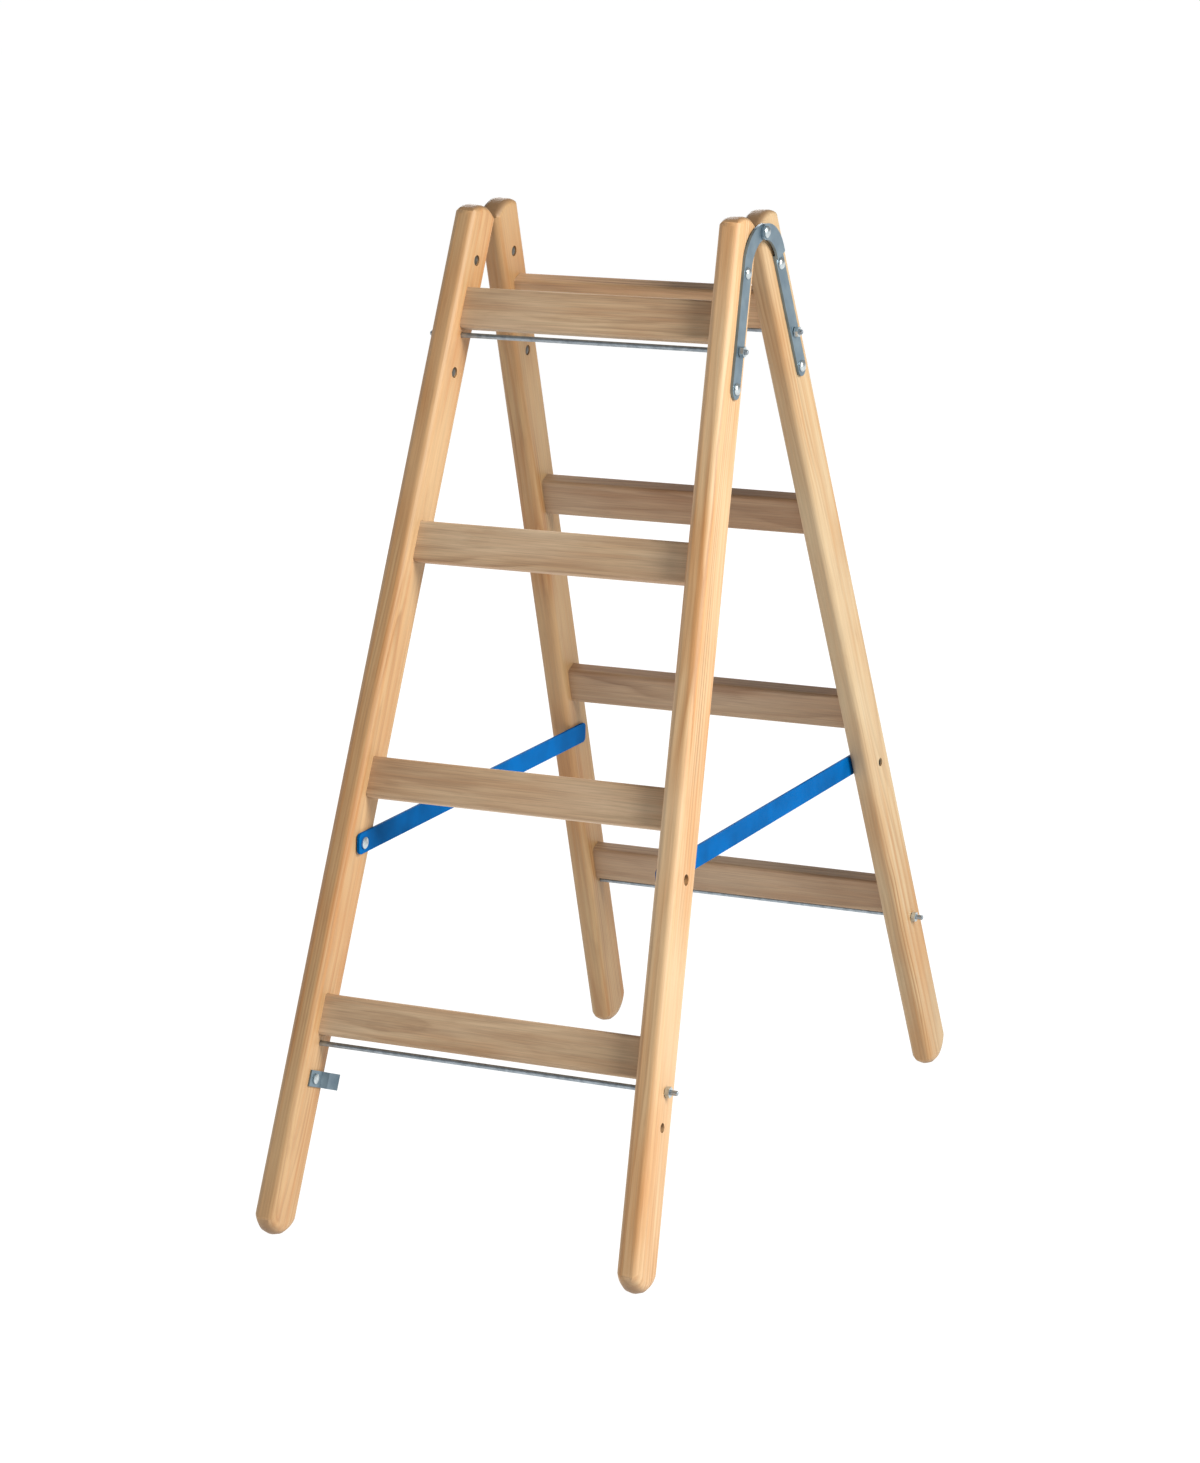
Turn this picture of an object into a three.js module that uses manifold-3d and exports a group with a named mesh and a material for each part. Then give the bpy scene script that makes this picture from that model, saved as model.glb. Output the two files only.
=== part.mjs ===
// Double-sided rung stepladder: two timber rung frames hinged at the top, held
// apart by two flat steel stays. Millimetres, +Z up, +X to the ladder's right,
// the front frame towards -Y. The origin is on the floor under the middle.
//
// Each frame is drawn lying in its own axes and then leaned over:
//   x  sideways, v  outwards from the hinge line, t  down the frame.
import * as THREE from 'three';
import * as BufferGeometryUtils from 'three/addons/utils/BufferGeometryUtils.js';
import ManifoldModule from 'manifold-3d';

const { Manifold, Mesh: SolidMesh } = await loadManifold();

// ---- driving dimensions ---------------------------------------------------
const LEAN = 20.9;            // each frame from vertical, degrees
const FLARE = 2.95;           // each stile leans outwards in its frame, degrees
const PIVOT_HEIGHT = 1125;    // hinge axis above the floor
const GAP = 0.3;              // clearance between touching pieces

const STILE = { thick: 28, deep: 58, corner: 9, inner: 1.5, halfTop: 182 };
const CROWN = { v: 27, q: 36, r: 45, edge: 8 };      // rounded top end of a stile
const FOOT = { v: 30.5, q: 1180, r: 36, edge: 13 };  // domed foot of a stile
const MID = STILE.inner + STILE.deep / 2;   // centre line of a stile's side

const RUNG = { tall: 48, thick: 21, corner: 4, pitch: 280, first: 956, tenon: 14.5, socket: 15 };
// tie rods lie nearer the rungs in the rear frame, and their bottom ones end short on the left
const ROD = { r: 3, top: 148, bottom: 989.5, rearLift: 2, topTail: 13, tail: 14.5, shortTail: 9 };
const NUT = { r: 6.6, thick: 5 };
const LEAF = { wide: 22, thick: 3, knee: 42, end: 204, eye: 9.5, outer: 58.5, inner: 43 };
const LEAF_BOLTS = [57, 192];
const RIVET = { r: 4, head: 7 };
const STAY = { t: 753, tall: 25, thick: 3, off: 1.6, nose: 12, corner: 6, end: 5.5, tilt: 1.72 };
const STUD = { r: 4, head: 7, bore: 6.6, boreDeep: 9 };
const SOCKET = { r: 5, bore: 3.8, rim: 9, rimThick: 0.6, peg: 3.4 };   // steel sleeve for the stay's peg
const CLIP = { t: 1031, tall: 19, thick: 2, deep: 6.6, lip: -4 };

// ---- small tools ----------------------------------------------------------
const rad = (deg) => deg * Math.PI / 180;
const V = (x, y, z) => new THREE.Vector3(x, y, z);

async function loadManifold() {
  const wasm = await ManifoldModule();
  wasm.setup();
  return wasm;
}

function solid(geometry) {
  let g = geometry.index ? geometry.toNonIndexed() : geometry.clone();
  for (const name of Object.keys(g.attributes)) if (name !== 'position') g.deleteAttribute(name);
  g = BufferGeometryUtils.mergeVertices(g, 1e-4);
  const tri = [];
  const idx = g.index.array;
  for (let i = 0; i < idx.length; i += 3) {
    const [a, b, c] = [idx[i], idx[i + 1], idx[i + 2]];
    if (a !== b && b !== c && a !== c) tri.push(a, b, c);
  }
  return new Manifold(new SolidMesh({
    numProp: 3, vertProperties: new Float32Array(g.attributes.position.array), triVerts: new Uint32Array(tri),
  }));
}

function surface(body) {
  const m = body.getMesh();
  const g = new THREE.BufferGeometry();
  g.setAttribute('position', new THREE.BufferAttribute(new Float32Array(m.vertProperties), 3));
  g.setIndex(new THREE.BufferAttribute(new Uint32Array(m.triVerts), 1));
  const flat = g.toNonIndexed();
  flat.computeVertexNormals();
  return flat;
}

const cut = (body, ...tools) => tools.reduce((b, t) => b.subtract(t), body);
const join = (...bodies) => bodies.reduce((a, b) => a.add(b));
const moved = (geometry, matrix) => geometry.clone().applyMatrix4(matrix);

function mirrored(geometry) {
  const g = geometry.index ? geometry.toNonIndexed() : geometry.clone();
  const p = g.attributes.position;
  for (let i = 0; i < p.count; i += 3) {
    const a = V().fromBufferAttribute(p, i + 1), b = V().fromBufferAttribute(p, i + 2);
    p.setXYZ(i, -p.getX(i), p.getY(i), p.getZ(i));
    p.setXYZ(i + 1, -b.x, b.y, b.z);
    p.setXYZ(i + 2, -a.x, a.y, a.z);
  }
  g.computeVertexNormals();
  return g;
}

function roundedRect(w, h, r) {
  const s = new THREE.Shape();
  const x = w / 2, y = h / 2;
  s.moveTo(-x + r, -y);
  s.lineTo(x - r, -y); s.absarc(x - r, -y + r, r, -Math.PI / 2, 0);
  s.lineTo(x, y - r); s.absarc(x - r, y - r, r, 0, Math.PI / 2);
  s.lineTo(-x + r, y); s.absarc(-x + r, y - r, r, Math.PI / 2, Math.PI);
  s.lineTo(-x, -y + r); s.absarc(-x + r, -y + r, r, Math.PI, 1.5 * Math.PI);
  return s;
}

const slab = (shape, depth, steps = 4) =>
  new THREE.ExtrudeGeometry(shape, { depth, bevelEnabled: false, curveSegments: steps });

// A turned piece: profile is [radius, height] from the axis back to the axis,
// standing at `base` and rising along `dir`.
function turned(profile, base, dir, segments = 16) {
  const pts = profile.map(([r, h]) => new THREE.Vector2(r, h));
  const g = new THREE.LatheGeometry(pts, segments);
  const m = new THREE.Matrix4().makeRotationFromQuaternion(
    new THREE.Quaternion().setFromUnitVectors(V(0, 1, 0), dir.clone().normalize()));
  return g.applyMatrix4(m.setPosition(base));
}

const bar = (a, b, r, segments = 16) => {
  const d = b.clone().sub(a);
  return turned([[0, 0], [r, 0], [r, d.length()], [0, d.length()]], a, d, segments);
};

function hexNut(base, dir, r, thick, hole) {
  const m = new THREE.Matrix4().makeRotationFromQuaternion(
    new THREE.Quaternion().setFromUnitVectors(V(0, 1, 0), dir.clone().normalize()));
  const g = new THREE.CylinderGeometry(r, r, thick, 6).translate(0, thick / 2, 0)
    .applyMatrix4(m.setPosition(base));
  const d = dir.clone().normalize();
  const drill = bar(base.clone().addScaledVector(d, -1), base.clone().addScaledVector(d, thick + 1), hole);
  return cut(solid(g), solid(drill));
}

// ---- axes of a stile and of a stay ------------------------------------------
const FL = rad(FLARE), LN = rad(LEAN);
// (p outwards from the stile's outer face, v, q along the stile) to (x, v, t)
const stileAxes = new THREE.Matrix4().makeBasis(
  V(Math.cos(FL), 0, -Math.sin(FL)), V(0, 1, 0), V(Math.sin(FL), 0, Math.cos(FL)))
  .setPosition(STILE.halfTop, 0, 0);
const onStile = (p, v, q) => V(p, v, q).applyMatrix4(stileAxes);
const stileOut = V(Math.cos(FL), 0, -Math.sin(FL));

// Each stay turns in a plane tilted a little less than the stiles flare, so that
// it stays clear of both stiles as the ladder folds.
const STAY_TILT = rad(STAY.tilt);
const stayOut = V(Math.cos(STAY_TILT), Math.sin(STAY_TILT) * Math.sin(LN),
  -Math.sin(STAY_TILT) * Math.cos(LN));
const stayAnchor = innerFaceAt(STAY.t, MID);

function innerFaceAt(t, v) {
  const q = (t - STILE.thick * Math.sin(FL)) / Math.cos(FL);
  return onStile(-STILE.thick, v, q);
}
const outerFaceX = (t) => STILE.halfTop + t * Math.tan(FL);

// Outline in (v, q) or (v, t) turned so that it is extruded along x or p.
const sideways = new THREE.Matrix4().makeBasis(V(0, 1, 0), V(0, 0, 1), V(1, 0, 0));

// ---- stiles -----------------------------------------------------------------
function stileOutline() {
  const v0 = STILE.inner, v1 = STILE.inner + STILE.deep, soft = 6;
  const top = (v) => CROWN.q - Math.sqrt(CROWN.r ** 2 - (v - CROWN.v) ** 2);
  const low = (v) => FOOT.q + Math.sqrt(FOOT.r ** 2 - (v - FOOT.v) ** 2);
  const s = new THREE.Shape();
  s.moveTo(v0, top(v0) + soft);
  s.quadraticCurveTo(v0, top(v0), v0 + soft, top(v0 + soft));
  for (let i = 1; i <= 8; i++) {
    const v = v0 + soft + (v1 - v0 - 2 * soft) * i / 8;
    s.lineTo(v, top(v));
  }
  s.quadraticCurveTo(v1, top(v1), v1, top(v1) + soft);
  s.lineTo(v1, low(v1) - soft);
  s.quadraticCurveTo(v1, low(v1), v1 - soft, low(v1 - soft));
  for (let i = 1; i <= 12; i++) {
    const v = v1 - soft - (v1 - v0 - 2 * soft) * i / 12;
    s.lineTo(v, low(v));
  }
  s.quadraticCurveTo(v0, low(v0), v0, low(v0) - soft);
  s.closePath();
  return s;
}

// A slab as thick as the stile with one half-round end, its edges rounded over by
// `edge`. Cutting the stile to it domes that end and leaves the rest as it was.
function endDome({ v, q, r, edge }, far) {
  const s = new THREE.Shape(), reach = r + 0.1, down = far > q;
  s.moveTo(v + reach, far);
  s.lineTo(v + reach, q);
  s.absarc(v, q, reach, 0, Math.PI, down);
  s.lineTo(v - reach, far);
  s.closePath();
  const g = new THREE.ExtrudeGeometry(s, {
    depth: STILE.thick - 2 * edge, curveSegments: 10, bevelEnabled: true, bevelSegments: 3,
    bevelThickness: edge, bevelSize: edge, bevelOffset: -edge,
  });
  return solid(moved(g, sideways.clone().setPosition(-STILE.thick + edge, 0, 0)));
}

function rungSocket(t) {
  const x = innerFaceAt(t, MID).x;
  const g = slab(roundedRect(RUNG.thick + 2 * GAP, RUNG.tall + 2 * GAP, RUNG.corner + GAP), 60);
  return moved(g, sideways.clone().setPosition(x - 60 + RUNG.socket, MID, t));
}

function drillAlong(dir, at, r, back, ahead) {
  const d = dir.clone().normalize();
  return bar(at.clone().addScaledVector(d, -back), at.clone().addScaledVector(d, ahead), r);
}

function floorCut() {
  // everything under the floor, drawn in the frame's own axes
  const g = new THREE.BoxGeometry(2000, 2000, 100).translate(0, 0, -50);
  return solid(moved(g, leanMatrix().invert()));
}

function stile(front) {
  const plank = slab(roundedRect(STILE.thick, STILE.deep, STILE.corner), 1260, 4)
    .translate(-STILE.thick / 2, MID, -20);
  const outline = slab(stileOutline(), STILE.thick + 4, 6)
    .applyMatrix4(sideways.clone().setPosition(-STILE.thick - 2, 0, 0));
  let body = solid(plank).intersect(solid(outline));
  body = body.intersect(endDome(CROWN, 1500)).intersect(endDome(FOOT, -300));
  body = solid(moved(surface(body), stileAxes));
  const tools = [];
  for (const t of rungHeights()) tools.push(solid(rungSocket(t)));
  for (const t of Object.values(rodHeights(front))) {
    tools.push(solid(bar(V(100, MID, t), V(300, MID, t), ROD.r + GAP + 0.1)));
  }
  for (const q of LEAF_BOLTS) {
    tools.push(solid(drillAlong(stileOut, onStile(0, MID, q), 3.3, 40, 10)));
    tools.push(solid(drillAlong(stileOut, onStile(-STILE.thick, MID, q), 6.5, 10, 2.6)));
  }
  if (front) {
    tools.push(solid(drillAlong(stayOut, stayAnchor, STUD.r + GAP, 10, 45)));
    tools.push(solid(drillAlong(stayOut, studSeat(), STUD.bore, 0, 20)));
  } else {
    tools.push(solid(drillAlong(stileOut, stayAnchor, SOCKET.r + GAP, 10, 45)));
  }
  if (front) {
    tools.push(solid(drillAlong(stileOut, onStile(0, MID, CLIP.t), 3.3, 40, 10)));
    tools.push(solid(drillAlong(stileOut, onStile(-STUD.boreDeep, MID, CLIP.t), 5.6, 0, 20)));
  }
  tools.push(floorCut());
  return cut(body, ...tools);
}

// centre of the floor of the counterbore that holds the nut of a stay's pivot bolt
const studSeat = () => stayAnchor.clone().addScaledVector(stayOut, STILE.thick - STUD.boreDeep);

// ---- rungs and tie rods -------------------------------------------------------
const rungHeights = () => [0, 1, 2, 3].map((i) => RUNG.first - i * RUNG.pitch);

function rodHeights(front) {
  const lift = front ? 0 : ROD.rearLift;
  return { top: ROD.top - lift, bottom: ROD.bottom - lift };
}

function rung(t) {
  const half = innerFaceAt(t, MID).x + RUNG.tenon;
  return moved(slab(roundedRect(RUNG.thick, RUNG.tall, RUNG.corner), 2 * half),
    sideways.clone().setPosition(-half, MID, t));
}

// before and after: how far the rod stands out of the stile at -x and at +x
function tieRod(t, before, after) {
  const length = 2 * outerFaceX(t) + before + after;
  return turned([[0, 0], [ROD.r - 0.8, 0], [ROD.r, 0.9],
    [ROD.r, length - 0.9], [ROD.r - 0.8, length], [0, length]],
    V(-outerFaceX(t) - before, MID, t), V(1, 0, 0), 12);
}

function tieNut(t, stand) {
  return hexNut(V(outerFaceX(t) + stand, MID, t), V(1, 0, 0), NUT.r, NUT.thick, ROD.r + GAP);
}

// ---- hinge ----------------------------------------------------------------------
// The strap lies on the flared stile; above the knee it stands square to the
// hinge axis and curves in to its eye. The rear leaf steps out over the front one.
function leafCurve() {
  const s = new THREE.Shape();
  const start = LEAF.knee + 4, w = LEAF.wide / 2;
  // a point on the arc that leaves the strap's edge at v, turned through deg
  const bend = (v, r, deg) => s.lineTo(v - r + r * Math.cos(rad(deg)), start - r * Math.sin(rad(deg)));
  s.moveTo(MID - w, start);
  s.lineTo(MID + w, start);
  for (let i = 1; i <= 8; i++) bend(MID + w, LEAF.outer, 8.6 * i);
  for (let i = 8; i >= 1; i--) bend(MID - w, LEAF.inner, 8 * i);
  s.closePath();
  return s;
}

function leaf(front) {
  const knee = LEAF.knee, w = LEAF.wide / 2;
  const strapShape = new THREE.Shape();
  const start = front ? knee - 1 : knee + 1;
  strapShape.moveTo(MID - w, start);
  strapShape.lineTo(MID + w, start);
  strapShape.lineTo(MID + w, LEAF.end - w);
  strapShape.absarc(MID, LEAF.end - w, w, 0, Math.PI);
  strapShape.closePath();
  let strap = solid(moved(slab(strapShape, LEAF.thick, 8), new THREE.Matrix4()
    .multiplyMatrices(stileAxes, sideways.clone().setPosition(GAP, 0, 0))));
  const x1 = STILE.halfTop + Math.sin(FL) * knee + GAP;
  const x2 = front ? x1 : x1 + LEAF.thick + GAP;
  const curve = solid(moved(slab(leafCurve(), LEAF.thick), sideways.clone().setPosition(x2, 0, 0)))
    .intersect(solid(new THREE.BoxGeometry(400, 200, 200).translate(200, 0, knee + (front ? 0.2 : 4) - 100)));
  const eye = solid(bar(V(x2, 0, 0), V(x2 + LEAF.thick, 0, 0), LEAF.eye, 24));
  let body = join(strap, curve, eye);
  if (!front) {
    const riser = new THREE.BoxGeometry(x2 + LEAF.thick - x1 - 0.1, LEAF.wide, 4)
      .translate((x1 + 0.1 + x2 + LEAF.thick) / 2, MID, knee + 2);
    body = join(body, solid(riser));
  }
  const holes = [solid(bar(V(x1 - 5, 0, 0), V(x1 + 15, 0, 0), RIVET.r + (front ? 0.1 : GAP)))];
  for (const q of LEAF_BOLTS) holes.push(solid(drillAlong(stileOut, onStile(0, MID, q), 3.3, 5, 10)));
  const rod = rodHeights(front).top;
  holes.push(solid(bar(V(100, MID, rod), V(300, MID, rod), ROD.r + 0.5)));
  return cut(body, ...holes);
}

function pivotRivet() {
  const x1 = STILE.halfTop + Math.sin(FL) * LEAF.knee + GAP;
  const a = x1 - 2.0, b = x1 - GAP, c = x1 + 2 * LEAF.thick + 2 * GAP;
  return turned([[0, 0], [5.6, 0], [6.8, b - a - 0.5], [6.8, b - a],
    [RIVET.r - 0.1, b - a], [RIVET.r - 0.1, c - a],
    [RIVET.head, c - a], [RIVET.head, c - a + 1.2],
    [RIVET.head - 2, c - a + 2.8], [RIVET.head - 4.5, c - a + 3.6],
    [0, c - a + 3.9]], V(a, 0, 0), V(1, 0, 0), 20);
}

function leafBolt(q) {
  const deep = STILE.thick + LEAF.thick + 2 * GAP;
  return turned([[0, 0.6], [4, 0.6], [5.5, 1.6], [5.5, 2.2], [3, 2.2], [3, deep], [7, deep], [7, deep + 0.9],
    [5.6, deep + 2.6], [3.2, deep + 3.5], [0, deep + 3.8]], onStile(-STILE.thick, MID, q), stileOut, 14);
}

// ---- stays ----------------------------------------------------------------------
// distance between the two bolts of a stay, straight across from front to rear
const STAY_SPAN = 2 * (STAY.t * Math.sin(LN) + MID * Math.cos(LN));

// Drawn along +X from the front bolt, thickness in -Z, and laid in place by stayAxes.
// Both ends are square with eased corners. The peg welded behind the far end plugs into
// the sleeve in the rear stile. Here it stops just short of the sleeve's rim, which
// leaves the stay free to swing.
function stay() {
  const length = STAY.nose + STAY_SPAN + STAY.end;
  const plate = solid(slab(roundedRect(length, STAY.tall, STAY.corner), STAY.thick, 6)
    .translate(length / 2 - STAY.nose, 0, -STAY.thick));
  const reach = STAY.off - SOCKET.rimThick - 0.35;
  const peg = solid(bar(V(STAY_SPAN, 0, -1), V(STAY_SPAN, 0, reach), SOCKET.peg));
  const hole = solid(bar(V(0, 0, -5), V(0, 0, 2), STUD.r + GAP));
  return moved(surface(cut(join(plate, peg), hole)), stayAxes());
}

// world axes of the right-hand stay: X back along the bar, Z outwards
function stayAxes() {
  const out = V(Math.cos(STAY_TILT), 0, Math.sin(STAY_TILT));
  const along = V(0, 1, 0);
  const up = V().crossVectors(out, along);
  const at = stayAnchor.clone().applyMatrix4(leanMatrix()).addScaledVector(out, -STAY.off);
  return new THREE.Matrix4().makeBasis(along, up, out).setPosition(at);
}

function stayBolt() {
  const start = -(STAY.off + STAY.thick + GAP + 3);
  const head = 3, far = -start + STILE.thick - STUD.boreDeep + 4.6;
  return turned([[0, 0], [4.6, 0], [STUD.head, 1.4], [STUD.head, head], [STUD.r, head],
    [STUD.r, far - 0.8], [STUD.r - 0.7, far], [0, far]],
  stayAnchor.clone().addScaledVector(stayOut, start), stayOut, 18);
}

function staySleeve() {
  const start = -SOCKET.rimThick - 0.1, length = STILE.thick - 1.2;
  const at = stayAnchor.clone().addScaledVector(stileOut, start);
  const body = turned([[0, 0], [SOCKET.rim - 0.3, 0], [SOCKET.rim, 0.2], [SOCKET.rim, SOCKET.rimThick],
    [SOCKET.r, SOCKET.rimThick], [SOCKET.r, length], [0, length]], at, stileOut, 20);
  return cut(solid(body), solid(drillAlong(stileOut, at, SOCKET.bore, 5, 40)));
}

const stayNut = () => hexNut(studSeat().addScaledVector(stayOut, GAP), stayOut, 6.1, 3.6, STUD.r + GAP);

// ---- clip that takes the stay when the ladder is folded -----------------------------
function clip() {
  const k = CLIP.thick, d0 = CLIP.deep, s = new THREE.Shape();
  const lip = CLIP.lip;
  const run = [[42, GAP], [16, GAP], [11, d0], [lip, d0], [lip - 6, d0 + 3.2], [lip - 7, d0 + 5],
    [lip - 0.5, d0 + k], [9.8, d0 + k], [14.8, GAP + k], [42, GAP + k]];
  run.forEach(([v, d], i) => (i ? s.lineTo(v, -STILE.thick - d) : s.moveTo(v, -STILE.thick - d)));
  s.closePath();
  // shape is (v, p): send X to v, Y to p, extrude along -q then shift
  const toStile = new THREE.Matrix4().makeBasis(V(0, 1, 0), V(1, 0, 0), V(0, 0, -1))
    .setPosition(0, 0, CLIP.t + CLIP.tall / 2);
  const g = slab(s, CLIP.tall);
  const body = solid(moved(g, new THREE.Matrix4().multiplyMatrices(stileAxes, toStile)));
  return cut(body, solid(drillAlong(stileOut, onStile(-STILE.thick, MID, CLIP.t), 3.3, 20, 5)));
}

function clipBolt() {
  const out = GAP + CLIP.thick + GAP, start = -STILE.thick - out - 2.8;
  const far = -start - STUD.boreDeep + 4.6;
  return turned([[0, 0], [3.6, 0], [6, 1.2], [6, 2.8], [3, 2.8], [3, far - 0.6], [2.4, far], [0, far]],
    onStile(start, MID, CLIP.t), stileOut, 14);
}

const clipNut = () => hexNut(onStile(-STUD.boreDeep + GAP, MID, CLIP.t), stileOut, 5.1, 3.4, 3.3);

// ---- finishes -----------------------------------------------------------------------
const finish = (name, color, roughness, metalness) => () => {
  const m = new THREE.MeshStandardMaterial({ color, roughness, metalness });
  m.name = name;
  return m;
};
const pine = finish('pine', 0xe6b987, 0.55, 0);
const beech = finish('rung_wood', 0xb08e6c, 0.6, 0);
const zinc = finish('zinc_steel', 0x8b98a3, 0.4, 0.85);
const steel = finish('bright_steel', 0xa9adb0, 0.35, 0.9);
const blue = finish('blue_paint', 0x0a55a8, 0.4, 0);

// ---- assembly -----------------------------------------------------------------------
function leanMatrix() {
  return new THREE.Matrix4().makeBasis(V(1, 0, 0), V(0, -Math.cos(LN), Math.sin(LN)),
    V(0, -Math.sin(LN), -Math.cos(LN))).setPosition(0, 0, PIVOT_HEIGHT);
}

function piece(name, shape, material) {
  const geometry = shape instanceof THREE.BufferGeometry ? shape : surface(shape);
  const mesh = new THREE.Mesh(geometry, material());
  mesh.name = name;
  return mesh;
}

function pair(group, front, label, shape, material) {
  const geometry = shape instanceof THREE.BufferGeometry ? shape : surface(shape);
  // the rear frame is turned about, so its own right side is the ladder's left
  const [near, far] = front ? ['right', 'left'] : ['left', 'right'];
  group.add(piece(label.replace('SIDE', near), geometry, material));
  group.add(piece(label.replace('SIDE', far), mirrored(geometry), material));
}

function buildFrame(front) {
  const side = front ? 'front' : 'rear';
  const group = new THREE.Group();
  pair(group, front, side + '_stile_SIDE', stile(front), pine);
  rungHeights().forEach((t, i) => group.add(piece(`${side}_rung_${i + 1}`, rung(t), beech)));
  const rods = rodHeights(front);
  const tails = front ? [ROD.shortTail, ROD.tail] : [ROD.tail, ROD.shortTail];
  group.add(piece(side + '_tie_rod_bottom', tieRod(rods.bottom, ...tails), steel));
  group.add(piece(side + '_tie_rod_top', tieRod(rods.top, ROD.topTail, ROD.topTail), steel));
  pair(group, front, side + '_rod_nut_bottom_SIDE', tieNut(rods.bottom, 0.8), steel);
  pair(group, front, side + '_rod_nut_top_SIDE', tieNut(rods.top, 4.2), steel);
  pair(group, front, side + '_hinge_leaf_SIDE', leaf(front), zinc);
  pair(group, front, side + '_hinge_bolt_upper_SIDE', leafBolt(LEAF_BOLTS[0]), steel);
  pair(group, front, side + '_hinge_bolt_lower_SIDE', leafBolt(LEAF_BOLTS[1]), steel);
  if (front) pair(group, front, 'stay_pivot_bolt_SIDE', stayBolt(), steel);
  pair(group, front, front ? 'stay_pivot_nut_SIDE' : 'stay_socket_SIDE',
    front ? stayNut() : staySleeve(), steel);
  if (front) {
    pair(group, front, 'hinge_rivet_SIDE', pivotRivet(), steel);
    pair(group, front, 'stay_clip_SIDE', clip(), zinc);
    pair(group, front, 'clip_bolt_SIDE', clipBolt(), steel);
    pair(group, front, 'clip_nut_SIDE', clipNut(), steel);
  }
  group.applyMatrix4(leanMatrix());
  if (front) return group;
  const turn = new THREE.Group();
  turn.rotation.z = Math.PI;
  turn.add(group);
  return turn;
}

const ladder = new THREE.Group();
ladder.name = 'stepladder';
ladder.add(buildFrame(true), buildFrame(false));
const bars = new THREE.Group();
pair(bars, true, 'stay_SIDE', stay(), blue);
ladder.add(bars);
ladder.updateMatrixWorld(true);

export default ladder;
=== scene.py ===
"""Looks for a double-sided rung stepladder: two pine frames with darker rungs,
zinc-plated strap hinges, steel tie rods and two blue stays.

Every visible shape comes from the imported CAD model. This script gives each piece
a procedural material in its own wood or metal axes, and sets floor, light and
camera."""
import math

import bpy
from mathutils import Matrix, Vector


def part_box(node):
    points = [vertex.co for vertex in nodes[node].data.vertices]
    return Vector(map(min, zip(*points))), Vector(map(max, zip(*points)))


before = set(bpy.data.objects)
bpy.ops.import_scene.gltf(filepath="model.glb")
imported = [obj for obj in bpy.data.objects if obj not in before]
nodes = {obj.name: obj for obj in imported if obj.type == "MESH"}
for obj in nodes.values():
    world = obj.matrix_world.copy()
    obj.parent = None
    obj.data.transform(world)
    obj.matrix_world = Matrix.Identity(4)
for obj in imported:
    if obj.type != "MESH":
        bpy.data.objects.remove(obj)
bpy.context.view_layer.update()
scene = bpy.context.scene

# ---- camera ---------------------------------------------------------------------
CAMERA_AT = Vector((2.0603, -4.4215, 1.6948))
LOOK = Vector((-0.41464, 0.87922, -0.23461))
RIGHT = Vector((0.90515, 0.42504, -0.00685))
LENS = 102.96
SENSOR_HEIGHT = 36
FAR = 200


def make_camera():
    data = bpy.data.cameras.new("camera")
    data.sensor_fit = "VERTICAL"
    data.sensor_height = SENSOR_HEIGHT
    data.lens = LENS
    data.clip_end = FAR
    back = -LOOK.normalized()
    right = (RIGHT - back * RIGHT.dot(back)).normalized()
    up = back.cross(right)
    camera = bpy.data.objects.new("camera", data)
    camera.matrix_world = Matrix.Translation(CAMERA_AT) @ Matrix(
        (right, up, back)).transposed().to_4x4()
    scene.collection.objects.link(camera)
    scene.camera = camera


make_camera()


# ---- node helpers -----------------------------------------------------------------
# sockets of a Mix node that mixes colours
MIX_A, MIX_B, MIX_RESULT = 6, 7, 2


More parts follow.
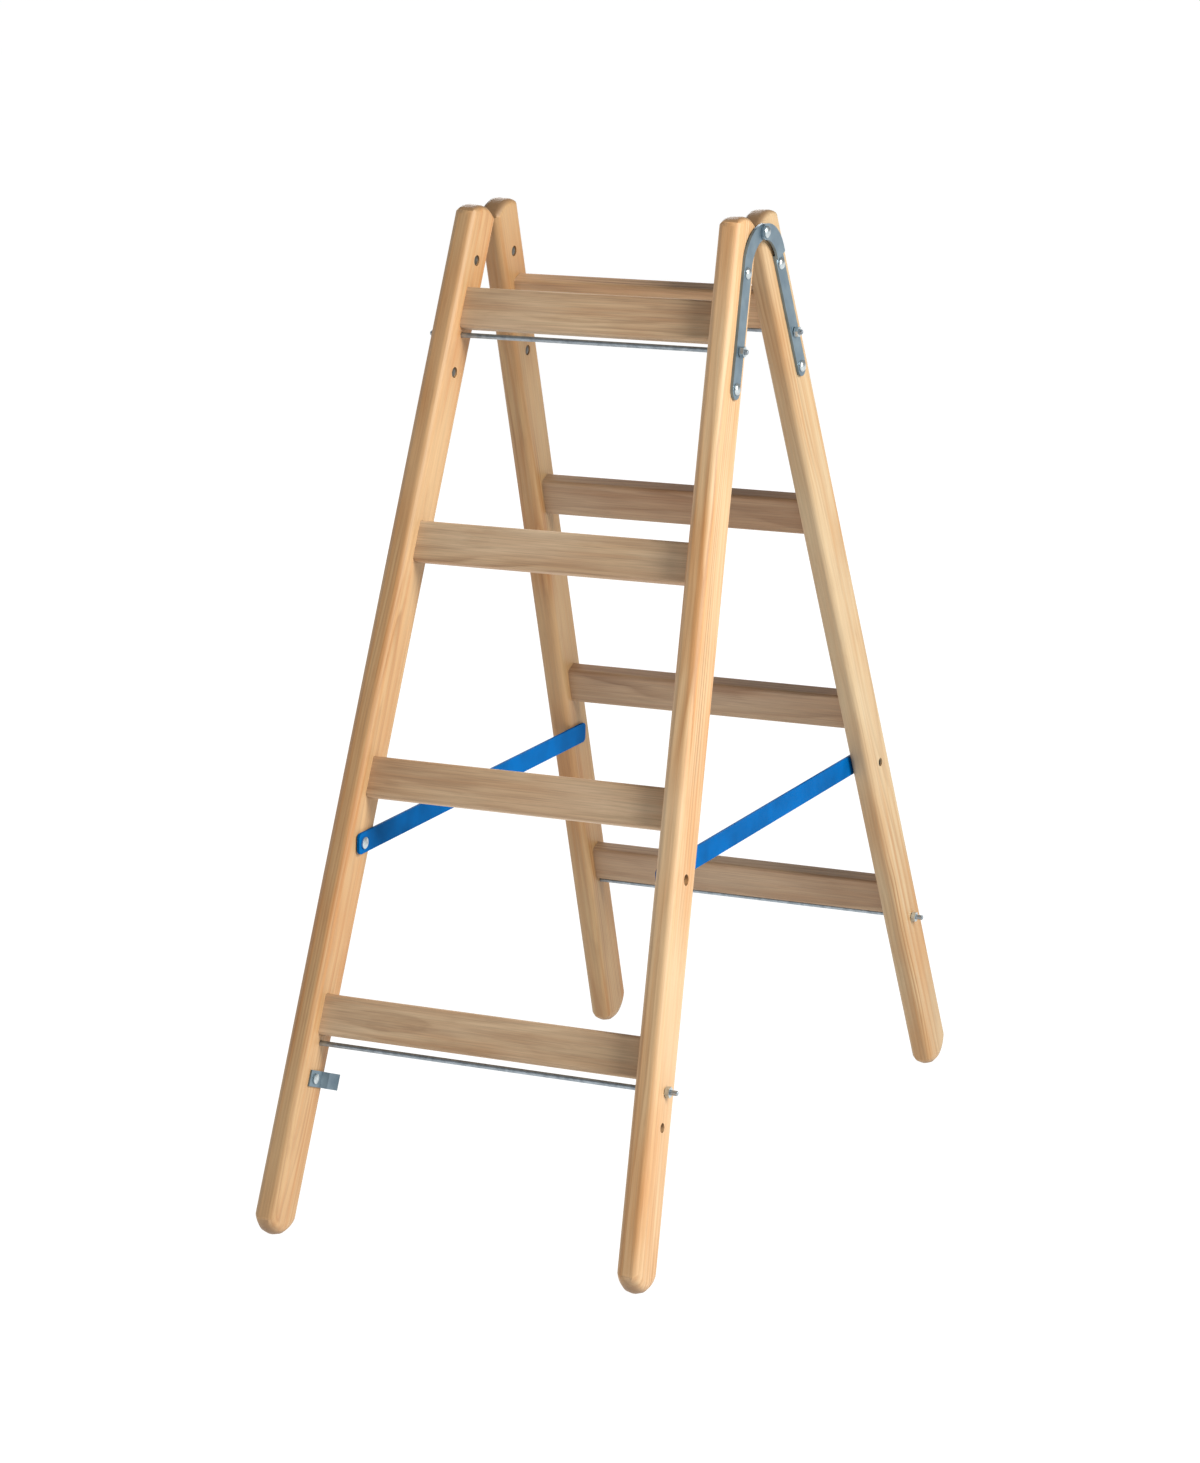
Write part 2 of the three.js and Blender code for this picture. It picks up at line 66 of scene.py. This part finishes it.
class Graph:
    """Builds one material's node tree with short calls."""

    def __init__(self, name):
        self.material = bpy.data.materials.new(name)
        self.material.use_nodes = True
        self.tree = self.material.node_tree
        self.shader = self.tree.nodes["Principled BSDF"]
        coordinates = self.tree.nodes.new("ShaderNodeTexCoord").outputs
        self.where, self.facing = coordinates["Object"], coordinates["Normal"]

    def put(self, socket, value):
        if isinstance(value, bpy.types.NodeSocket):
            self.tree.links.new(value, socket)
        else:
            socket.default_value = value

    def math(self, op, a, b=0.0, c=0.0):
        node = self.tree.nodes.new("ShaderNodeMath")
        node.operation = op
        for socket, value in zip(node.inputs, (a, b, c)):
            self.put(socket, value)
        return node.outputs[0]

    def vector(self, op, a, b):
        node = self.tree.nodes.new("ShaderNodeVectorMath")
        node.operation = op
        self.put(node.inputs[0], a)
        self.put(node.inputs[1], b)
        return node.outputs["Value" if op == "DOT_PRODUCT" else "Vector"]

    def combine(self, x, y, z):
        node = self.tree.nodes.new("ShaderNodeCombineXYZ")
        for socket, value in zip(node.inputs, (x, y, z)):
            self.put(socket, value)
        return node.outputs[0]

    def noise(self, vector, scale=1.0, detail=2.0, rough=0.5):
        node = self.tree.nodes.new("ShaderNodeTexNoise")
        self.put(node.inputs["Vector"], vector)
        self.put(node.inputs["Scale"], scale)
        self.put(node.inputs["Detail"], detail)
        self.put(node.inputs["Roughness"], rough)
        return node.outputs["Fac"]

    def ramp(self, value, stops):
        node = self.tree.nodes.new("ShaderNodeValToRGB")
        points = node.color_ramp.elements
        while len(points) < len(stops):
            points.new(0.5)
        for point, (at, grey) in zip(points, stops):
            point.position = at
            point.color = (grey, grey, grey, 1)
        self.put(node.inputs["Fac"], value)
        return node.outputs["Color"]

    def mix(self, fac, a, b, kind="MIX"):
        node = self.tree.nodes.new("ShaderNodeMix")
        node.data_type = "RGBA"
        node.blend_type = kind
        self.put(node.inputs["Factor"], fac)
        for index, value in ((MIX_A, a), (MIX_B, b)):
            self.put(node.inputs[index], (*value, 1) if isinstance(value, tuple) else value)
        return node.outputs[MIX_RESULT]

    def bump(self, height, distance, strength):
        node = self.tree.nodes.new("ShaderNodeBump")
        self.put(node.inputs["Height"], height)
        self.put(node.inputs["Distance"], distance)
        self.put(node.inputs["Strength"], strength)
        self.put(self.shader.inputs["Normal"], node.outputs["Normal"])

    def finish(self, **values):
        for name, value in values.items():
            self.put(self.shader.inputs[name.replace("_", " ")], value)
        return self.material


def srgb(r, g, b):
    """A screen colour in 0..255 as the linear colour Blender works in."""
    parts = (c / 255 for c in (r, g, b))
    return tuple(c / 12.92 if c <= 0.04045 else ((c + 0.055) / 1.055) ** 2.4 for c in parts)


# ---- shading of the faceted solids ----------------------------------------------------
SHARP_ANGLE = math.radians(43)
MERGE_WITHIN = 2e-6


def smooth_group():
    """A modifier's nodes: join the facets' corners and smooth all but the real edges."""
    tree = bpy.data.node_groups.new("smooth_shading", "GeometryNodeTree")
    tree.is_modifier = True
    for way in ("INPUT", "OUTPUT"):
        tree.interface.new_socket("Geometry", in_out=way, socket_type="NodeSocketGeometry")
    start = tree.nodes.new("NodeGroupInput")
    merge = tree.nodes.new("GeometryNodeMergeByDistance")
    merge.inputs["Distance"].default_value = MERGE_WITHIN
    forget = tree.nodes.new("GeometryNodeRemoveAttribute")
    forget.inputs["Name"].default_value = "custom_normal"
    faces = tree.nodes.new("GeometryNodeSetShadeSmooth")
    faces.domain = "FACE"
    angle = tree.nodes.new("GeometryNodeInputMeshEdgeAngle")
    shallow = tree.nodes.new("FunctionNodeCompare")
    shallow.operation = "LESS_THAN"
    shallow.inputs["B"].default_value = SHARP_ANGLE
    tree.links.new(angle.outputs["Unsigned Angle"], shallow.inputs["A"])
    edges = tree.nodes.new("GeometryNodeSetShadeSmooth")
    edges.domain = "EDGE"
    tree.links.new(shallow.outputs["Result"], edges.inputs["Shade Smooth"])
    chain = (start, merge, forget, faces, edges, tree.nodes.new("NodeGroupOutput"))
    for before, after in zip(chain, chain[1:]):
        tree.links.new(before.outputs["Geometry"], after.inputs["Geometry"])
    return tree


def smooth_all():
    group = smooth_group()
    for node in nodes.values():
        node.modifiers.new("smooth", "NODES").node_group = group
        weighted = node.modifiers.new("weighted", "WEIGHTED_NORMAL")
        weighted.keep_sharp = True


smooth_all()


# ---- wood ---------------------------------------------------------------------------
END_GRAIN = srgb(128, 98, 68)
# how strongly a ring is inked: pale early in the year, dark late, and a sharp end
RING_SHADE = [(0.0, 0.4), (0.12, 0.0), (0.4, 0.1), (0.8, 0.8), (0.92, 1.0), (1.0, 0.4)]
# the honey and cream patches of the board
BLOTCH = 0.75
# the pith drifts sideways by this much for each metre along the board
PITH_DRIFT = 0.012
CREAM = (1.06, 1.13, 1.24)


def wood(name, axes, middle, pith, ring, wander, light, dark, tint, seed, fibre=0.5, gloss=0.42):
    """Growth rings round a pith that runs beside the board, with fine fibres along it.

    axes are the board's (across, deep, along) directions, pith is where the tree's
    middle lies across and deep from the board's own, and ring is the ring width."""
    g = Graph(name)
    local = g.vector("SUBTRACT", g.where, tuple(middle))
    across, deep, along = (g.vector("DOT_PRODUCT", local, tuple(a)) for a in axes)

    def stretched(k_across, k_along, shift):
        return g.combine(g.math("MULTIPLY", across, k_across), g.math("MULTIPLY", deep, k_across),
                         g.math("MULTIPLY_ADD", along, k_along, seed * 7.3 + shift))

    sway = g.noise(stretched(9, 1.6, 0), detail=2)
    ripple = g.noise(stretched(45, 6, 3), detail=3)
    lean = g.math("MULTIPLY", g.math("SUBTRACT", sway, 0.5), wander)
    lean = g.math("MULTIPLY_ADD", g.math("SUBTRACT", ripple, 0.5), wander * 0.16, lean)
    x = g.math("ADD", g.math("SUBTRACT", across, pith[0]), g.math("MULTIPLY", along, PITH_DRIFT))
    y = g.math("SUBTRACT", deep, pith[1])
    radius = g.math("SQRT", g.math("ADD", g.math("MULTIPLY", x, x), g.math("MULTIPLY", y, y)))
    turns = g.math("DIVIDE", g.math("ADD", radius, lean), ring)
    ring_at = g.math("FRACT", turns)
    late = g.ramp(ring_at, RING_SHADE)
    year = g.combine(g.math("MULTIPLY", g.math("FLOOR", turns), 0.73), seed * 1.7, 0.0)
    strength = g.ramp(g.noise(year, scale=3.0), [(0.3, 0.08), (0.7, 1.0)])
    fade = g.ramp(g.noise(stretched(22, 3.0, 41), detail=2), [(0.3, 0.15), (0.65, 1.0)])
    late = g.math("MULTIPLY", g.math("MULTIPLY", late, strength), fade)
    fibres = g.noise(stretched(900, 16, 11), detail=3, rough=0.6)
    streak = g.noise(stretched(150, 3.0, 23), detail=3)
    patch = g.noise(stretched(20, 4.5, 31), detail=3)
    pale_patch = g.noise(stretched(16, 3.2, 53), detail=2)
    colour = g.mix(late, light, dark)
    streaks = g.math("MULTIPLY", g.ramp(streak, [(0.45, 0.0), (0.68, 1.0)]), 0.6)
    colour = g.mix(streaks, colour, tint)
    honey = g.math("MULTIPLY", g.ramp(patch, [(0.45, 0.0), (0.72, 1.0)]), BLOTCH)
    colour = g.mix(honey, colour, tint)
    cream = tuple(min(1.0, c * k) for c, k in zip(light, CREAM))
    creamy = g.math("MULTIPLY", g.ramp(pale_patch, [(0.45, 0.0), (0.7, 1.0)]), BLOTCH)
    colour = g.mix(creamy, colour, cream)
    shade = g.ramp(fibres, [(0.25, 1.0 - 0.35 * fibre), (0.6, 1.0)])
    colour = g.mix(1.0, colour, shade, "MULTIPLY")
    # sawn ends drink the finish and turn darker and greyer
    end_on = g.math("ABSOLUTE", g.vector("DOT_PRODUCT", g.facing, tuple(axes[2])))
    end_on = g.ramp(end_on, [(0.35, 0.0), (0.85, 1.0)])
    colour = g.mix(g.math("MULTIPLY", end_on, 0.85), colour, END_GRAIN)
    # handling has left a little grime in the pores
    grime = g.ramp(g.noise(stretched(70, 12, 67), detail=4, rough=0.65), [(0.58, 0.0), (0.82, 1.0)])
    colour = g.mix(g.math("MULTIPLY", grime, 0.35), colour, dark)
    height = g.math("ADD", g.math("MULTIPLY", fibres, 0.6), g.math("MULTIPLY", late, 0.4))
    g.bump(height, 0.0003, 0.45)
    rough = g.math("MULTIPLY_ADD", fibres, 0.25, gloss)
    return g.finish(Base_Color=colour, Roughness=rough, Specular_IOR_Level=0.5)


LEAN = math.radians(20.9)
FLARE = math.radians(2.95)


def frame_axes(front):
    """(sideways, outwards, downwards) of a leaning frame, in the ladder's axes."""
    sign = 1 if front else -1
    return (Vector((sign, 0, 0)), Vector((0, -sign * math.cos(LEAN), math.sin(LEAN))),
            Vector((0, -sign * math.sin(LEAN), -math.cos(LEAN))))


def middle_of(name):
    low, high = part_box(name)
    return (low + high) / 2


def dress(name, material):
    slots = nodes[name].data.materials
    slots.clear()
    slots.append(material)


PINE_PALE = srgb(196, 152, 105)
PINE_LATE = srgb(140, 86, 42)
PINE_HONEY = srgb(182, 118, 62)
RUNG_PALE = srgb(208, 178, 142)
RUNG_LATE = srgb(138, 100, 68)
RUNG_BROWN = srgb(178, 138, 102)
# painted shade: the rear rungs are darker and a little browner, as their faces turn down away from
# the light; painted light: the top one is lifted, as its top catches the light
REAR_RUNG_PAINTED_SHADE = (0.72, 0.68, 0.66)
TOP_REAR_RUNG_PAINTED_LIGHT = (1.04, 0.98, 0.92)

# each stile comes from another board, so tone scales the pine's red, green and blue; the right-hand
# stiles' strong pale, creamy lift is also a painted sheen
STILES = {
    "front_stile_left": dict(pith=(0.055, 0.020), ring=0.0042, wander=0.030,
                             seed=1, tone=(0.96, 1.05, 1.12)),
    "front_stile_right": dict(pith=(-0.045, -0.060), ring=0.0046, wander=0.024,
                              seed=2, tone=(1.16, 1.36, 1.62)),
    "rear_stile_left": dict(pith=(0.030, 0.070), ring=0.0040, wander=0.030,
                            seed=3, tone=(0.80, 0.88, 0.90)),
    "rear_stile_right": dict(pith=(-0.060, 0.010), ring=0.0044, wander=0.034,
                             seed=4, tone=(0.92, 1.16, 1.44)),
}


def toned(colour, tone):
    return tuple(c * t for c, t in zip(colour, tone))


for name, look in STILES.items():
    front = name.startswith("front")
    side, out, down = frame_axes(front)
    # +1 on the frame's own right
    hand = 1 if name.endswith("right") == front else -1
    along = (down * math.cos(FLARE) + side * hand * math.sin(FLARE)).normalized()
    across = (side * math.cos(FLARE) - down * hand * math.sin(FLARE)).normalized()
    # tone holds each board's colour and, for the right-hand stiles, a painted sheen
    tone = look.pop("tone")
    dress(name, wood("pine_" + name, (across, out, along), middle_of(name),
                     light=toned(PINE_PALE, tone), dark=toned(PINE_LATE, tone),
                     tint=toned(PINE_HONEY, tone), **look))

RUNGS_EACH = 4
RUNG_PITHS = ((0.016, 0.045), (-0.012, 0.06), (0.004, 0.035), (0.02, -0.05))
RUNG_RING = 0.0052
RUNG_WANDER = 0.045

for index in range(2 * RUNGS_EACH):
    front, step = index < RUNGS_EACH, index % RUNGS_EACH + 1
    name = f"{'front' if front else 'rear'}_rung_{step}"
    side, out, down = frame_axes(front)
    pith = RUNG_PITHS[(index * 3 + step) % len(RUNG_PITHS)]
    if front:
        tone = (1, 1, 1)
    else:
        # painted shade on the lower rear rungs, painted light on the top one
        tone = TOP_REAR_RUNG_PAINTED_LIGHT if step == RUNGS_EACH else REAR_RUNG_PAINTED_SHADE
    dress(name, wood("rung_wood_" + name, (down, out, side), middle_of(name), pith=pith,
                     ring=RUNG_RING, wander=RUNG_WANDER, light=toned(RUNG_PALE, tone),
                     dark=toned(RUNG_LATE, tone), tint=toned(RUNG_BROWN, tone),
                     seed=20 + index, fibre=0.8, gloss=0.5))


# ---- metal ---------------------------------------------------------------------------
def zinc():
    g = Graph("zinc_steel")
    cloud = g.noise(g.where, scale=45, detail=3)
    grain = g.noise(g.where, scale=1400, detail=2)
    colour = g.mix(g.ramp(cloud, [(0.3, 0.0), (0.7, 1.0)]), srgb(104, 124, 138), srgb(130, 149, 160))
    g.bump(grain, 0.00008, 0.4)
    return g.finish(Base_Color=colour, Metallic=0.75,
                    Roughness=g.math("MULTIPLY_ADD", cloud, 0.25, 0.28))


METALLIC = 0.9
# painted shade for the ends sunk in bores: a dark colour and little metallic shine
BORE_SHADE_METALLIC = 0.1
BORE_PAINTED_SHADE = srgb(70, 66, 58)


def steel(name, pale, dull, rough, shaded=None):
    """Turned steel. shaded gives the two distances from the ladder's middle, sideways,
    between which a piece lies sunk in its bore and is painted dark as painted shade."""
    g = Graph(name)
    cloud = g.noise(g.where, scale=160, detail=2)
    grain = g.noise(g.where, scale=2200, detail=1)
    colour = g.mix(g.ramp(cloud, [(0.35, 0.0), (0.7, 1.0)]), pale, dull)
    metal = METALLIC
    roughness = g.math("MULTIPLY_ADD", cloud, 0.2, rough)
    if shaded:
        sideways = g.math("ABSOLUTE", g.vector("DOT_PRODUCT", g.where, (1, 0, 0)))
        # painted shade: the part sunk in its bore is coloured dark and made less metallic
        in_bore_painted_shade = g.math("MULTIPLY", g.math("GREATER_THAN", sideways, shaded[0]),
                        g.math("LESS_THAN", sideways, shaded[1]))
        colour = g.mix(in_bore_painted_shade, colour, BORE_PAINTED_SHADE)
        metal = g.math("MULTIPLY_ADD", in_bore_painted_shade, BORE_SHADE_METALLIC - METALLIC, METALLIC)
    g.bump(grain, 0.00005, 0.3)
    return g.finish(Base_Color=colour, Metallic=metal, Roughness=roughness)


def enamel():
    g = Graph("blue_paint")
    cloud = g.noise(g.where, scale=25, detail=2)
    peel = g.noise(g.where, scale=700, detail=1)
    colour = g.mix(g.ramp(cloud, [(0.3, 0.0), (0.7, 1.0)]), srgb(0, 80, 140), srgb(0, 94, 164))
    g.bump(peel, 0.00006, 0.35)
    return g.finish(Base_Color=colour, Roughness=g.math("MULTIPLY_ADD", cloud, 0.15, 0.5),
                    IOR=1.15, Specular_IOR_Level=0.2)


zinc_plate = zinc()
BRIGHT = (srgb(205, 214, 216), srgb(176, 186, 190), 0.22)
bright = steel("bright_steel", *BRIGHT)
# the parts of these pieces sunk in bores or recesses get painted shade
through_bolt = steel("through_bolt_steel", *BRIGHT, shaded=(0, 0.176))
pivot_bolt = steel("pivot_bolt_steel", *BRIGHT, shaded=(0.205, 1))
socket_steel = steel("socket_steel", srgb(170, 176, 178), srgb(140, 148, 152), 0.35, (0.198, 1))
rod_steel = steel("rod_steel", srgb(168, 178, 186), srgb(138, 148, 156), 0.34)
blue = enamel()
for name in nodes:
    if "leaf" in name or "clip_left" in name or "clip_right" in name:
        dress(name, zinc_plate)
    elif "tie_rod" in name:
        dress(name, rod_steel)
    elif name in ("stay_left", "stay_right"):
        dress(name, blue)
    elif "hinge_bolt" in name:
        dress(name, through_bolt)
    elif name.startswith(("stay_pivot", "clip_bolt", "clip_nut")):
        dress(name, pivot_bolt)
    elif name.startswith("stay_socket"):
        dress(name, socket_steel)
    elif "stile" not in name and "rung" not in name:
        dress(name, bright)


# ---- floor and light --------------------------------------------------------------------
FLOOR_REACH = 40
FLOOR_DROP = 0.0005   # keeps the floor just under the feet


def make_floor():
    g = Graph("floor")
    g.finish(Base_Color=(0.12, 0.12, 0.12, 1), Roughness=1.0, Specular_IOR_Level=0.0,
             Emission_Color=(1, 1, 1, 1), Emission_Strength=0.985)
    mesh = bpy.data.meshes.new("floor")
    r = FLOOR_REACH
    mesh.from_pydata([(-r, -r, 0), (r, -r, 0), (r, r, 0), (-r, r, 0)], [], [(0, 1, 2, 3)])
    mesh.materials.append(g.material)
    floor = bpy.data.objects.new("floor", mesh)
    floor.location.z = -FLOOR_DROP
    scene.collection.objects.link(floor)


def area_light(name, at, toward, wide, tall, power, colour=(1, 1, 1)):
    data = bpy.data.lights.new(name, "AREA")
    data.shape = "RECTANGLE"
    data.size = wide
    data.size_y = tall
    data.energy = power
    data.color = colour
    light = bpy.data.objects.new(name, data)
    light.location = at
    light.rotation_euler = (Vector(toward) - Vector(at)).to_track_quat("-Z", "Y").to_euler()
    scene.collection.objects.link(light)


SKY_SEEN = 1.0
SKY_LIGHT = 0.18


def make_world():
    """A white sky as the camera sees it, which lights the ladder only faintly."""
    world = bpy.data.worlds.new("studio")
    world.use_nodes = True
    tree = world.node_tree
    shade = tree.nodes["Background"]
    shade.inputs["Color"].default_value = (1, 1, 1, 1)
    seen = tree.nodes.new("ShaderNodeBackground")
    seen.inputs["Color"].default_value = (1, 1, 1, 1)
    seen.inputs["Strength"].default_value = SKY_SEEN
    shade.inputs["Strength"].default_value = SKY_LIGHT
    path = tree.nodes.new("ShaderNodeLightPath")
    either = tree.nodes.new("ShaderNodeMixShader")
    tree.links.new(path.outputs["Is Camera Ray"], either.inputs[0])
    tree.links.new(shade.outputs[0], either.inputs[1])
    tree.links.new(seen.outputs[0], either.inputs[2])
    tree.links.new(either.outputs[0], tree.nodes["World Output"].inputs["Surface"])
    scene.world = world


make_floor()
make_world()
MID_LADDER = (0, 0, 0.6)
area_light("key", (4.2, -0.75, 3.0), MID_LADDER, 1.6, 2.4, 330, (1.0, 0.99, 0.96))
area_light("back_fill", (-2.4, 4.0, 2.6), MID_LADDER, 2.0, 2.0, 90)
area_light("left_fill", (-4.2, -1.0, 1.6), MID_LADDER, 1.8, 1.8, 40)
scene.view_settings.view_transform = "Standard"
